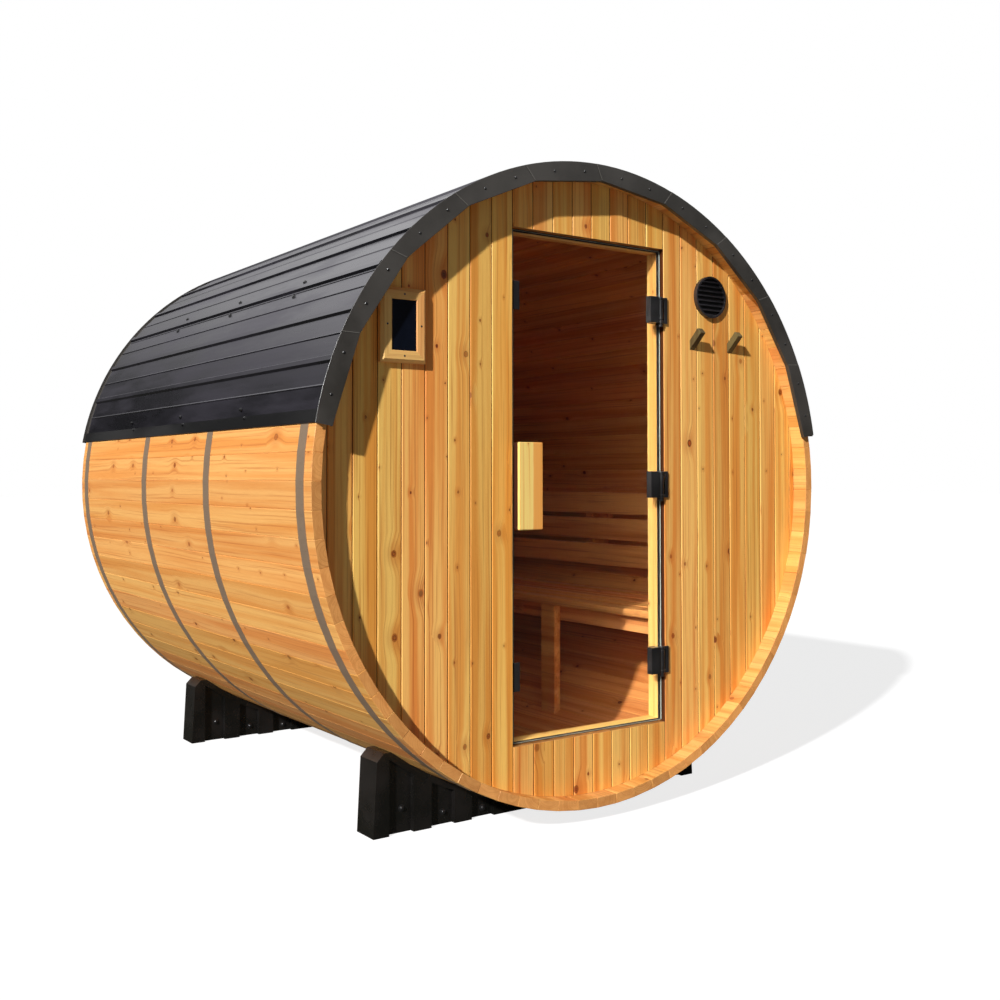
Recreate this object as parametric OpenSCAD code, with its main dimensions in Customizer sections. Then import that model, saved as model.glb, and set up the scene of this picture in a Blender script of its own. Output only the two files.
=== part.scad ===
// Barrel sauna: a barrel of flat staves lying on two moulded cradles, closed
// by recessed board walls, with a hinged glass door in the front wall and a
// ribbed sheet-metal roof wrapped over the top. Front is -Y, up is +Z, and the
// origin is on the ground under the middle of the barrel.

/* [Barrel] */
// Outer diameter of the barrel, across its flat staves
barrel_d = 2060; // [2000:10:2500]
// Length of the staves
barrel_len = 2230; // [1800:10:3600]
// Thickness of a stave
stave_t = 32; // [24:1:45]
// Number of staves round the barrel
stave_count = 80; // [70:10:90]
// Turn of the stave joints round the barrel's axis, in degrees
joint_turn = -1.1; // [-2:0.1:2]
// Thickness of each hoop strap
strap_t = 1.2; // [0.8:0.1:2]
// Width of each hoop strap
strap_w = 50; // [30:1:70]
// Distance of the end straps from the stave ends, to their middle
strap_inset = 71; // [50:1:120]
// Distance between the two middle straps
strap_mid_gap = 625; // [400:5:900]
// How far the middle straps are set from the barrel's middle towards the door
strap_mid_shift = 24; // [-100:1:100]

/* [End walls] */
// How far the end walls stand back from the stave ends
wall_recess = 58; // [40:1:120]
// Thickness of the end walls
wall_t = 42; // [28:1:60]

/* [Doorway] */
// Width of the doorway through the wall
door_w = 642; // [530:1:780]
// Height of the doorway through the wall
door_h = 1625; // [1340:5:1650]
// Height of the doorway's lower edge above the underside of the barrel
door_sill_h = 221; // [200:1:300]
// Sideways place of the doorway's middle
door_x = 10; // [-20:1:20]
// Thickness of the door lining boards
lining_t = 12; // [8:1:20]
// Depth of the door lining boards
lining_depth = 45; // [30:1:60]
// Thickness of the seal strip on the lining
seal_t = 3; // [2:0.5:5]

/* [Door leaf] */
// Thickness of the glass
glass_t = 8; // [6:1:10]
// How far the glass stands back from the face of the wall
glass_recess = 10; // [8:1:16]
// Gap round the glass inside the doorway
glass_gap = 6; // [5.5:0.5:10]
// Free space between the back of the glass and the seal strip
seal_gap = 9; // [8:0.5:12]
// Width of the handle boards
handle_w = 92; // [80:1:120]
// Height of the handle boards
handle_h = 274; // [200:1:400]
// Thickness of the handle boards
handle_t = 12; // [8:1:30]
// Space for fingers between a handle board and the glass
handle_gap = 29; // [16:1:40]
// Height of the handle's middle above the middle of the doorway
handle_rise = -2; // [-100:1:100]

/* [Hinges] */
// Height of a hinge
hinge_h = 90; // [70:1:120]
// Distance of the top and bottom hinges' middles from the doorway's ends
hinge_end = 214; // [120:1:300]
// Distance of the hinge pin from the right edge of the doorway
pin_inset = 19; // [18:1:22]
// Distance of the hinge pin in front of the face of the wall
pin_front = 4; // [3:1:6]
// Diameter of the hinge pin
pin_d = 8; // [6:0.5:10]

/* [Roof] */
// Thickness of the roof sheets
sheet_t = 1.2; // [0.8:0.1:2]
// Angle of the roof's lower edges above the barrel's axis, in degrees
roof_end = 10.25; // [5:0.25:25]
// Number of ribs on each side of the ridge, the roof's lower edge included
side_ribs = 9; // [7:1:11]
// Height of a rib
rib_h = 7; // [6:0.5:12]
// Width of a rib at its base
rib_w = 26; // [20:1:34]
// How far the end trims of the roof reach past the stave ends
roof_overhang = 16; // [10:1:40]
// How far the sheets stand back from the front trim's face
sheet_back_front = 3; // [2:1:30]
// How far the sheets stand back from the rear trim's face
sheet_back_rear = 34; // [6:1:44]
// Radial width of the end trims
trim_w = 54; // [46:1:70]

/* [Cradles] */
// Width of a cradle, across the barrel
cradle_w = 1360; // [1100:10:1500]
// Thickness of a cradle, along the barrel
cradle_t = 107; // [90:1:200]
// Height of the barrel's underside above the ground
cradle_base = 55; // [40:1:140]
// Distance of a cradle's middle from the stave ends
cradle_inset = 336; // [250:1:500]

/* [Bench] */
// Height of the seat above the inside of the barrel's lowest stave
seat_h = 545; // [500:5:750]
// Distance of the seat's front edge from the barrel's axis
seat_x = 400; // [300:5:450]
// Thickness of a seat board
seat_t = 28; // [20:1:35]
// Height of the beam and the bearers under the seat boards
beam_h = 60; // [50:1:90]
// Height of one backrest board
back_h = 92; // [70:1:110]

/* [Hidden] */
barrel_r = barrel_d / 2;
inner_r = barrel_r - stave_t;
axis_h = cradle_base + barrel_r;
front_y = -barrel_len / 2;
stave_step = 360 / stave_count;
segment_count = 10;
segment_staves = stave_count / segment_count;
strap_mid_y = barrel_len / 2 - strap_mid_shift;
strap_rear_y = barrel_len - strap_inset;

// front wall and doorway, measured from the barrel's axis and the stave ends
wall_back = wall_recess + wall_t;
door_left = door_x - door_w / 2;
door_right = door_x + door_w / 2;
door_low = door_sill_h - barrel_r;
door_high = door_low + door_h;
glass_y = wall_recess + glass_recess;
seal_y = glass_y + glass_t + seal_gap;
lining_y = seal_y + seal_t;
seal_w = lining_t - 2;

// door leaf
glass_left = door_left + glass_gap;
glass_right = door_right - glass_gap;
glass_low = door_low + glass_gap;
glass_high = door_high - glass_gap;
door_middle = (door_low + door_high) / 2;
handle_z = door_middle + handle_rise;
handle_overhang = 4;
handle_offset = 26;
handle_left = glass_left - handle_overhang;
handle_inner_left = handle_left + handle_offset;
spacer_w = 30;
spacer_inset = 6;
pin_x = door_right - pin_inset;
pin_y = wall_recess - pin_front;
pin_fit = 0.05;
hinge_proud = 14;
hinge_pitch = door_h / 2 - hinge_end;
knuckle_d = pin_d + 12;
pin_boss_d = pin_d + 8;
knuckle_gap = 2;
web_t = pin_d;
bracket_arm_h = 10;
pin_foot = 12;
clamp_w = 40;
clamp_back_w = 20;
clamp_back_t = 8;
clamp_gap = 4;
clamp_right = pin_x - knuckle_d / 2 - clamp_gap;
plate_w = 14;
plate_t = 8;
plate_overhang = 3;
catch_w = 24;
catch_t = 4;

// vent, hooks and display beside the door, measured from the barrel's axis
vent_edge = 133;
vent_turn = 50.5;
vent_x = (inner_r - vent_edge) * cos(vent_turn);
vent_z = (inner_r - vent_edge) * sin(vent_turn);
vent_d = 148;
vent_rim = 7;
vent_depth = 14;
louvre_count = 8;
louvre_t = 3;
louvre_tilt = 35;
hook_pitch = 186;
hook_offset = 10;
hook_drop = 175;
hook_x = [for (side = [-0.5, 0.5]) vent_x + hook_offset + side * hook_pitch];
hook_z = vent_z - hook_drop;
hook_w = 24;
hook_reach = 56;
hook_tilt = 45;
display_edge = 140;
display_turn = 146.6;
display_x = (inner_r - display_edge) * cos(display_turn);
display_z = (inner_r - display_edge) * sin(display_turn);
display_w = 153;
display_h = 219;
display_t = 24;
display_rail = 35;
display_bevel = 12;
display_set_back = 4;

// roof
sheet_gap = strap_t + 2;
sheet_r = barrel_r + sheet_gap;
sheet_y = sheet_back_front - roof_overhang;
sheet_len = barrel_len + roof_overhang - sheet_back_rear - sheet_y;
rib_top_w = 14;
crease_h = 2;
crease_w = 8;
lap_gap = 0.3;
lap_lift = sheet_t + lap_gap;
lap_slack = 1.1;
lap_foot = 6;
lap_step = 2;
ridge_gap = 8;
lap_rib = round(side_ribs * 2 / 3);
last_bay_extra = 1.25;
rib_pitch = (90 - roof_end - last_bay_extra) / side_ribs;
trim_t = 1.2;
trim_step = 16;
trim_strap_gap = 6;
trim_flange = roof_overhang + strap_inset - strap_w / 2 - trim_strap_gap;
trim_lip = roof_overhang - 1;
lip_end = 0.02;
lip_set_in = 0.2;
trim_r = sheet_r + sheet_t + rib_h;
trim_inner_r = trim_r - trim_w;
eave_drop = 34;
eave_gap = 0.3;
eave_lip = 4;

// cradles
cradle_shoulder = 64;
cradle_end_h = axis_h - sqrt(pow(barrel_r, 2) - pow(cradle_w / 2 - cradle_shoulder, 2));
cradle_chamfer = 25;
cradle_batter = 12;
pocket_count = 3;
pocket_first = 56;
pocket_pitch = 154;
pocket_w = 88;
pocket_deep = 19;
pocket_rim = 22;

// bench
seat_top = seat_h - inner_r;
seat_low = seat_top - seat_t;
board_gap = 10;
seat_boards = 5;
seat_wall_gap = 14;
seat_rear = sqrt(pow(inner_r, 2) - pow(seat_low, 2)) - seat_wall_gap;
seat_board_w = (seat_rear - seat_x - (seat_boards - 1) * board_gap) / seat_boards;
beam_t = 30;
leg_set_back = 4;
leg_w = 86;
leg_span = 600;
leg_x = seat_x + leg_set_back;
beam_x = leg_x + beam_t;
bench_gap = 2;
back_boards = 3;
back_board_t = 22;
back_board_gap = 20;
back_wall_gap = 64;
back_rise = 98;
back_low = seat_top + back_rise;
back_x = sqrt(pow(inner_r, 2) - pow(back_low, 2)) - back_wall_gap - back_board_t;
back_batten = 45;
batten_inset = 266;
bench_front = wall_back + bench_gap;
bench_rear = barrel_len - wall_back - bench_gap;
batten_y = [batten_inset, barrel_len / 2, barrel_len - batten_inset];

// A point at radius r and angle a in a section across the barrel
function around(r, a) = [r * cos(a), r * sin(a)];

// The list, back to front
function backwards(points) = [for (i = [len(points) - 1 : -1 : 0]) points[i]];

// Corners of the faceted barrel from joint i0 to joint i1, r across a flat
function facets(r, i0, i1) =
    [for (i = [i0 : i1]) around(r / cos(stave_step / 2), i * stave_step + joint_turn)];

// A section across the barrel, drawn out along it from y0 behind the stave ends
module along(y0, length) {
    translate([0, front_y + y0 + length, axis_h])
        rotate([90, 0, 0])
            linear_extrude(length) children();
}

// A box between two corners, measured from the barrel's axis and stave ends
module block(low, high) {
    translate([low[0], front_y + low[1], axis_h + low[2]])
        cube([high[0] - low[0], high[1] - low[1], high[2] - low[2]]);
}

// The whole faceted disc, r across a flat
module disc(r) {
    polygon(facets(r, 0, stave_count - 1));
}

// One tenth of the barrel: a run of staves joined edge to edge
module staves(k) {
    i0 = (k - 1) * segment_staves;
    i1 = k * segment_staves;
    color([0.93, 0.72, 0.43])
        along(0, barrel_len)
            polygon(concat(facets(barrel_r, i0, i1), backwards(facets(inner_r, i0, i1))));
}

module strap(middle_y) {
    color([0.55, 0.5, 0.45])
        along(middle_y - strap_w / 2, strap_w)
            difference() {
                disc(barrel_r + strap_t);
                disc(barrel_r);
            }
}

// The part of the front wall inside a rectangle from low to high
module front_panel(low, high) {
    color([0.9, 0.68, 0.38])
        along(wall_recess, wall_t)
            intersection() {
                disc(inner_r);
                translate(low) square(high - low);
            }
}

module front_wall_left() {
    front_panel([-barrel_r, -barrel_r], [door_left, barrel_r]);
}

module front_wall_right() {
    front_panel([door_right, -barrel_r], [barrel_r, barrel_r]);
}

module front_wall_over_door() {
    front_panel([door_left, door_high], [door_right, barrel_r]);
}

module front_wall_under_door() {
    front_panel([door_left, -barrel_r], [door_right, door_low]);
}

module rear_wall() {
    color([0.9, 0.68, 0.38])
        along(barrel_len - wall_back, wall_t) disc(inner_r);
}

// One lining board between two corners across the barrel
module lining(low, high) {
    color([0.85, 0.6, 0.3])
        block([low[0], lining_y, low[1]], [high[0], lining_y + lining_depth, high[1]]);
}

module door_lining_left() {
    lining([door_left, door_low], [door_left + lining_t, door_high]);
}

module door_lining_right() {
    lining([door_right - lining_t, door_low], [door_right, door_high]);
}

module door_lining_head() {
    lining([door_left + lining_t, door_high - lining_t], [door_right - lining_t, door_high]);
}

module door_lining_sill() {
    lining([door_left + lining_t, door_low], [door_right - lining_t, door_low + lining_t]);
}

// Black rubber strip on the front edge of the lining, all round
module door_seal() {
    color([0.08, 0.08, 0.08])
        along(seal_y, seal_t)
            difference() {
                translate([door_left, door_low]) square([door_w, door_h]);
                translate([door_left + seal_w, door_low + seal_w])
                    square([door_w - 2 * seal_w, door_h - 2 * seal_w]);
            }
}

module door_glass() {
    color([0.35, 0.22, 0.15, 0.5])
        block([glass_left, glass_y, glass_low], [glass_right, glass_y + glass_t, glass_high]);
}

// A handle board on its spacer; side is -1 in front of the glass and 1 behind
module handle(left, side) {
    glass_face = side < 0 ? glass_y : glass_y + glass_t;
    board_in = side < 0 ? glass_face - handle_gap - handle_t : glass_face + handle_gap;
    spacer_in = side < 0 ? glass_face - handle_gap : glass_face;
    spacer_left = left + spacer_inset;
    low = handle_z - handle_h / 2;
    color([0.95, 0.75, 0.4]) {
        block([left, board_in, low], [left + handle_w, board_in + handle_t, low + handle_h]);
        block([spacer_left, spacer_in, low],
              [spacer_left + spacer_w, spacer_in + handle_gap, low + handle_h]);
    }
}

module door_handle_outer() {
    handle(handle_left, -1);
}

module door_handle_inner() {
    handle(handle_inner_left, 1);
}

module door_catch_plates() {
    color([0.1, 0.1, 0.1])
        for (side = [-1, 1]) {
            z = door_middle + side * hinge_pitch;
            block([glass_left, glass_y - catch_t, z - hinge_h / 2],
                  [glass_left + catch_w, glass_y, z + hinge_h / 2]);
        }
}

// Upright cylinder on the hinge axis
module on_pin(d, z0, height) {
    translate([pin_x, front_y + pin_y, axis_h + z0]) cylinder(d = d, h = height, $fn = 48);
}

// The half of each hinge that grips the glass, and turns on the pin
module hinge_clamps() {
    knuckle_h = hinge_h - 2 * (bracket_arm_h + knuckle_gap);
    left = clamp_right - clamp_w;
    color([0.1, 0.1, 0.1])
        for (i = [-1 : 1]) {
            z = door_middle + i * hinge_pitch;
            low = z - hinge_h / 2;
            high = z + hinge_h / 2;
            knuckle_low = z - knuckle_h / 2;
            difference() {
                union() {
                    block([left, wall_recess - hinge_proud, low], [clamp_right, glass_y, high]);
                    block([clamp_right - 1, pin_y - web_t / 2, knuckle_low],
                          [pin_x, pin_y + web_t / 2, knuckle_low + knuckle_h]);
                    on_pin(knuckle_d, knuckle_low, knuckle_h);
                }
                on_pin(pin_d + 2 * pin_fit, knuckle_low - 1, knuckle_h + 2);
            }
            block([clamp_right - clamp_back_w, glass_y + glass_t, low],
                  [clamp_right, glass_y + glass_t + clamp_back_t, high]);
        }
}

// The half of each hinge that is screwed to the wall and carries the pin
module hinge_brackets() {
    plate_left = door_right - plate_overhang;
    color([0.1, 0.1, 0.1])
        for (i = [-1 : 1]) {
            low = door_middle + i * hinge_pitch - hinge_h / 2;
            block([plate_left, wall_recess - plate_t, low],
                  [plate_left + plate_w, wall_recess, low + hinge_h]);
            on_pin(pin_d, low, hinge_h);
            on_pin(pin_boss_d, low - pin_foot, pin_foot);
            for (z0 = [low, low + hinge_h - bracket_arm_h]) {
                block([pin_x, wall_recess - plate_t, z0],
                      [plate_left + 1, wall_recess, z0 + bracket_arm_h]);
                on_pin(knuckle_d, z0, bracket_arm_h);
            }
        }
}

// Round louvred grille over the vent in the front wall
module vent_grille() {
    inside_d = vent_d - 2 * vent_rim;
    pitch = inside_d / louvre_count;
    color([0.1, 0.1, 0.1])
        translate([vent_x, front_y + wall_recess, axis_h + vent_z]) {
            rotate([90, 0, 0])
                difference() {
                    cylinder(d = vent_d, h = vent_depth, $fn = 64);
                    translate([0, 0, louvre_t]) cylinder(d = inside_d, h = vent_depth, $fn = 64);
                }
            intersection() {
                rotate([90, 0, 0]) cylinder(d = inside_d + 1, h = vent_depth - 1, $fn = 64);
                for (i = [0 : louvre_count - 1])
                    translate([-vent_d / 2, -vent_depth, (i - louvre_count / 2) * pitch])
                        rotate([louvre_tilt, 0, 0])
                            cube([vent_d, vent_depth * 1.5, louvre_t]);
            }
        }
}

// Two square pegs that lean out and up from the wall, their backs cut to it
module wall_hooks() {
    rise = hook_reach * tan(hook_tilt);
    back_h = hook_w / cos(hook_tilt);
    end_out = hook_w * sin(hook_tilt);
    end_up = hook_w * cos(hook_tilt);
    color([0.25, 0.14, 0.08])
        for (x = hook_x)
            translate([x - hook_w / 2, front_y + wall_recess, axis_h + hook_z - back_h / 2])
                rotate([90, 0, 90])
                    linear_extrude(hook_w)
                        polygon([
                            [0, 0], [-hook_reach, rise],
                            [-hook_reach + end_out, rise + end_up], [0, back_h]
                        ]);
}

// Bevelled wooden frame round the display
module display_frame() {
    glass_w = display_w - 2 * display_rail;
    glass_h = display_h - 2 * display_rail;
    color([0.85, 0.6, 0.3])
        translate([display_x, front_y + wall_recess - display_t, axis_h + display_z])
            difference() {
                translate([-display_w / 2, 0, -display_h / 2]) cube([display_w, display_t, display_h]);
                translate([-glass_w / 2, -1, -glass_h / 2]) cube([glass_w, display_t + 2, glass_h]);
                for (side = [-1, 1]) {
                    translate([side * display_w / 2, 0, 0])
                        rotate([0, 0, 45])
                            cube([display_bevel, display_bevel, 2 * display_h], center = true);
                    translate([0, 0, side * display_h / 2])
                        rotate([45, 0, 0])
                            cube([2 * display_w, display_bevel, display_bevel], center = true);
                }
            }
}

// The display itself, with a glass front, filling its frame
module display_glass() {
    glass_w = display_w - 2 * display_rail;
    glass_h = display_h - 2 * display_rail;
    y = wall_recess - display_t + display_set_back;
    color([0.1, 0.1, 0.12])
        block([display_x - glass_w / 2, y, display_z - glass_h / 2],
              [display_x + glass_w / 2, wall_recess, display_z + glass_h / 2]);
}

// Angle that a width takes up on the roof sheet
function turn_of(width) = width / sheet_r * 180 / PI;

// Rib k counts from the ridge, positive to the left; each gives [angle, height]
function rib_angle(k) = 90 + k * rib_pitch;

function rib(k) = [
    [rib_angle(k) - turn_of(rib_w / 2), 0],
    [rib_angle(k) - turn_of(rib_top_w / 2), rib_h],
    [rib_angle(k) + turn_of(rib_top_w / 2), rib_h],
    [rib_angle(k) + turn_of(rib_w / 2), 0]
];

function crease(k) = [
    [rib_angle(k + 0.5) - turn_of(crease_w / 2), 0],
    [rib_angle(k + 0.5), crease_h],
    [rib_angle(k + 0.5) + turn_of(crease_w / 2), 0]
];

// The last rib of a sheet, lifted to lie over its neighbour's rib
function lap(k, side) =
    let (
        foot = lap_slack * rib_w / 2,
        top = lap_slack * rib_top_w / 2,
        lifted = lap_lift + rib_h
    ) [
        for (p = [
            [-foot - lap_foot - lap_step, 0], [-foot - lap_foot, lap_lift], [-foot, lap_lift],
            [-top, lifted], [top, lifted], [foot, lap_lift], [foot + lap_foot, lap_lift]
        ])
            [rib_angle(k) + side * turn_of(p[0]), p[1]]
    ];

// A sheet with the given course of [angle, height] points
module sheet(course) {
    color([0.3, 0.3, 0.32])
        along(sheet_y, sheet_len)
            polygon(concat(
                [for (p = course) around(sheet_r + p[1] + sheet_t, p[0])],
                backwards([for (p = course) around(sheet_r + p[1], p[0])])
            ));
}

// Mirrors a course about the ridge
function mirrored(course) = backwards([for (p = course) [180 - p[0], p[1]]]);

function flat_list(lists) = [for (l = lists) for (p = l) p];

lower_course = flat_list([
    for (k = [lap_rib : side_ribs - 1]) concat(rib(k), crease(k)),
    [[180 - roof_end, 0]]
]);
upper_left_course = flat_list([
    [[90 + turn_of(rib_w / 2 + ridge_gap), 0]],
    crease(0),
    for (k = [1 : lap_rib - 1]) concat(rib(k), crease(k)),
    lap(lap_rib, 1)
]);
upper_right_course = flat_list([
    backwards(lap(-lap_rib, -1)),
    for (k = [-lap_rib + 1 : 0]) concat(crease(k - 1), rib(k))
]);

module roof_left_lower() {
    sheet(lower_course);
}

module roof_right_lower() {
    sheet(mirrored(lower_course));
}

module roof_left_upper() {
    sheet(upper_left_course);
}

module roof_right_upper() {
    sheet(upper_right_course);
}

// Corners of the trim's lip at radius r, its ends a little short of the band's ends
function lip_course(r, turns) =
    let (n = len(turns) - 1, points = [for (a = turns) around(r, a)])
        concat(
            [points[0] + (points[1] - points[0]) * lip_end],
            [for (i = [1 : n - 1]) points[i]],
            [points[n] + (points[n - 1] - points[n]) * lip_end]
        );

// End trim of the roof: a flat band over the ends of the staves and the sheets,
// straight from corner to corner inside and round outside, with a lip along its
// inner edge and a flange that lies on the staves
module trim(face_y, lip_y, flange_y) {
    span = 180 - 2 * roof_end;
    corners = round(span / trim_step);
    i0 = ceil((roof_end - joint_turn) / stave_step);
    i1 = floor((180 - roof_end - joint_turn) / stave_step);
    end_r = trim_r / cos(stave_step / 2);
    turns = [for (i = [corners : -1 : 0]) roof_end + i * span / corners];
    color([0.2, 0.19, 0.18]) {
        along(face_y, trim_t)
            polygon(concat(
                [around(end_r, roof_end)], facets(trim_r, i0, i1), [around(end_r, 180 - roof_end)],
                [for (a = turns) around(trim_inner_r, a)]
            ));
        along(lip_y, trim_lip)
            polygon(concat(
                lip_course(trim_inner_r + lip_set_in, turns),
                backwards(lip_course(trim_inner_r + lip_set_in + trim_t, turns))
            ));
        along(flange_y, trim_flange)
            polygon(concat(facets(barrel_r + trim_t, i0, i1), backwards(facets(barrel_r, i0, i1))));
    }
}

module front_trim() {
    trim(-roof_overhang, -roof_overhang, -roof_overhang);
}

module rear_trim() {
    rear_y = barrel_len + roof_overhang;
    trim(rear_y - trim_t, rear_y - trim_lip, rear_y - trim_flange);
}

// Drip strip along the lower edge of the roof; side is -1 left and 1 right
module eave_trim(side) {
    strip_r = sheet_r + sheet_t + eave_gap;
    top = roof_end + turn_of(eave_drop);
    bottom = roof_end - turn_of(eave_lip);
    color([0.2, 0.19, 0.18])
        along(-roof_overhang + trim_t, barrel_len + 2 * (roof_overhang - trim_t))
            scale([side, 1])
                polygon([
                    around(strip_r, bottom), around(strip_r + trim_t, bottom),
                    around(strip_r + trim_t, top), around(strip_r, top)
                ]);
}

module eave_trim_left() {
    eave_trim(-1);
}

module eave_trim_right() {
    eave_trim(1);
}

// Cradle outline: a block with leaning ends that the barrel is sunk into
module cradle_outline() {
    half = cradle_w / 2;
    top = cradle_end_h - axis_h;
    difference() {
        polygon([
            [-half, -axis_h], [half, -axis_h],
            [half - cradle_batter, top - cradle_chamfer],
            [half - cradle_batter - cradle_chamfer, top],
            [-half + cradle_batter + cradle_chamfer, top],
            [-half + cradle_batter, top - cradle_chamfer]
        ]);
        disc(barrel_r);
    }
}

// Pockets in a face of the cradle, open at the bottom
module cradle_pockets() {
    low = -axis_h - 1;
    high = cradle_end_h - axis_h - pocket_rim;
    difference() {
        for (side = [-1, 1])
            for (i = [0 : pocket_count - 1])
                translate([side * (cradle_w / 2 - pocket_first - pocket_w / 2 - i * pocket_pitch), low])
                    translate([-pocket_w / 2, 0])
                        square([pocket_w, high - low]);
        disc(barrel_r + pocket_rim);
    }
}

module cradle(middle_y) {
    y0 = middle_y - cradle_t / 2;
    color([0.09, 0.08, 0.08])
        difference() {
            along(y0, cradle_t) cradle_outline();
            along(y0 - 1, pocket_deep + 1) cradle_pockets();
            along(y0 + cradle_t - pocket_deep, pocket_deep + 1) cradle_pockets();
        }
}

module cradle_front() {
    cradle(cradle_inset);
}

module cradle_rear() {
    cradle(barrel_len - cradle_inset);
}

// Keeps a piece inside the barrel, cut to the inside of the staves
module scribed() {
    intersection() {
        along(0, barrel_len) disc(inner_r);
        children();
    }
}

module bench_seat() {
    color([0.8, 0.55, 0.3])
        for (i = [0 : seat_boards - 1]) {
            x = seat_x + i * (seat_board_w + board_gap);
            block([x, bench_front, seat_low], [x + seat_board_w, bench_rear, seat_top]);
        }
}

// Front beam and cross bearers under the seat
module bench_frame() {
    middle = barrel_len / 2;
    color([0.75, 0.5, 0.27]) {
        block([beam_x, bench_front, seat_low - beam_h], [beam_x + beam_t, bench_rear, seat_low]);
        scribed()
            for (y = [bench_front, middle - leg_span / 2 - beam_t / 2,
                      middle + leg_span / 2 - beam_t / 2, bench_rear - beam_t])
                block([beam_x + beam_t, y, seat_low - beam_h], [barrel_r, y + beam_t, seat_low]);
    }
}

// Two legs in front of the beam, from the seat boards down to the staves
module bench_legs() {
    middle = barrel_len / 2;
    color([0.75, 0.5, 0.27])
        scribed()
            for (side = [-1, 1])
                block([leg_x, middle + side * leg_span / 2 - leg_w / 2, -barrel_r],
                      [beam_x, middle + side * leg_span / 2 + leg_w / 2, seat_low]);
}

// Three boards on upright battens that are cut to the staves
module bench_backrest() {
    back_all = back_boards * back_h + (back_boards - 1) * back_board_gap;
    color([0.8, 0.55, 0.3]) {
        for (i = [0 : back_boards - 1]) {
            z = back_low + i * (back_h + back_board_gap);
            block([back_x, bench_front, z], [back_x + back_board_t, bench_rear, z + back_h]);
        }
        scribed()
            for (y = batten_y)
                block([back_x + back_board_t, y - back_batten / 2, back_low],
                      [barrel_r, y + back_batten / 2, back_low + back_all]);
    }
}

staves(1);  // staves_1
staves(2);  // staves_2
staves(3);  // staves_3
staves(4);  // staves_4
staves(5);  // staves_5
staves(6);  // staves_6
staves(7);  // staves_7
staves(8);  // staves_8
staves(9);  // staves_9
staves(10);  // staves_10
strap(strap_inset);  // strap_front
strap(strap_mid_y - strap_mid_gap / 2);  // strap_middle_front
strap(strap_mid_y + strap_mid_gap / 2);  // strap_middle_rear
strap(strap_rear_y);  // strap_rear
front_wall_left();
front_wall_right();
front_wall_over_door();
front_wall_under_door();
rear_wall();
door_lining_left();
door_lining_right();
door_lining_head();
door_lining_sill();
door_seal();
door_glass();
door_handle_outer();
door_handle_inner();
door_catch_plates();
hinge_clamps();
hinge_brackets();
vent_grille();
wall_hooks();
display_frame();
display_glass();
roof_left_lower();
roof_left_upper();
roof_right_upper();
roof_right_lower();
front_trim();
rear_trim();
eave_trim_left();
eave_trim_right();
cradle_front();
cradle_rear();
bench_seat();
bench_frame();
bench_legs();
bench_backrest();
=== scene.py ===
"""Looks of a barrel sauna: flat staves, end walls of boards, a glass door, a
ribbed metal roof over the top half and two moulded cradles underneath."""

import math

import bmesh
import bpy
import numpy as np
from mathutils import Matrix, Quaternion, Vector


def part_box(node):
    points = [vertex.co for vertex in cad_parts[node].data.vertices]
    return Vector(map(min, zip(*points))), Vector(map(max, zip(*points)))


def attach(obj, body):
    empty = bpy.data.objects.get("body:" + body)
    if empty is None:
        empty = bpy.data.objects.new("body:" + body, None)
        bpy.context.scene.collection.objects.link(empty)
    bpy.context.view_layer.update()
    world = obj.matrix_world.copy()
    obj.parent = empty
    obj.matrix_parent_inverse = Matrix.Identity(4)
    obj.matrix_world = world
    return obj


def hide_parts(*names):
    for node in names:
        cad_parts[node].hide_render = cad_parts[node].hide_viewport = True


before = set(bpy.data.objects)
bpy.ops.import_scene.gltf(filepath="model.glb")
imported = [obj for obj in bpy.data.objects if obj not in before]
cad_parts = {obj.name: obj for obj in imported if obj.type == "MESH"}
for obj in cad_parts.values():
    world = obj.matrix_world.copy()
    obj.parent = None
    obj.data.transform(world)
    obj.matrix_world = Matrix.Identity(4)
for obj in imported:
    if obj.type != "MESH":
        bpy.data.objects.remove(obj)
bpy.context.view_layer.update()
scene = bpy.context.scene

MM = 0.001
TAU = 2 * math.pi

# ---------------- sizes

STAVE_COUNT = 80
STAVE_RUNS = 10
STAVE_STEP = TAU / STAVE_COUNT
JOINT_TURN = math.radians(-1.1)
STAVE_T = 32 * MM
STRAP_T = 1.2 * MM

strap_low, strap_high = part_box("strap_front")
stave_low, stave_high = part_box("staves_1")
wall_low, wall_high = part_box("front_wall_left")
rear_low, rear_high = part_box("rear_wall")
glass_low, glass_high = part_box("door_glass")

AXIS_Z = (strap_low.z + strap_high.z) / 2
FRONT_Y, REAR_Y = stave_low.y, stave_high.y
BARREL_R = (strap_high.x - strap_low.x) / 2 * math.cos(STAVE_STEP / 2) / math.cos(JOINT_TURN) - STRAP_T
INNER_R = BARREL_R - STAVE_T
WALL_Y = wall_low.y
WALL_T = wall_high.y - wall_low.y
DOOR_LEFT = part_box("door_seal")[0].x
DOOR_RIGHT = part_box("door_seal")[1].x
DOOR_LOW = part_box("door_seal")[0].z
DOOR_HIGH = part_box("door_seal")[1].z
DOOR_BOARDS = 8
BOARD_PITCH = (DOOR_RIGHT - DOOR_LEFT) / DOOR_BOARDS

ROOF_END = math.radians(10.25)
LAST_BAY_EXTRA = math.radians(1.25)
SIDE_RIBS = 9
RIB_PITCH = (TAU / 4 - ROOF_END - LAST_BAY_EXTRA) / SIDE_RIBS
LAP_RIB = 6
RIB_H = 7 * MM
STRAP_TO_SHEET = 2 * MM
SHEET_R = BARREL_R + STRAP_T + STRAP_TO_SHEET
SHEET_T = 1.2 * MM
TRIM_R = SHEET_R + SHEET_T + RIB_H
TRIM_W = 54 * MM
TRIM_STEPS = 10
TRIM_T = 1.2 * MM

SEED = 7
rng = np.random.default_rng(SEED)


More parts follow.
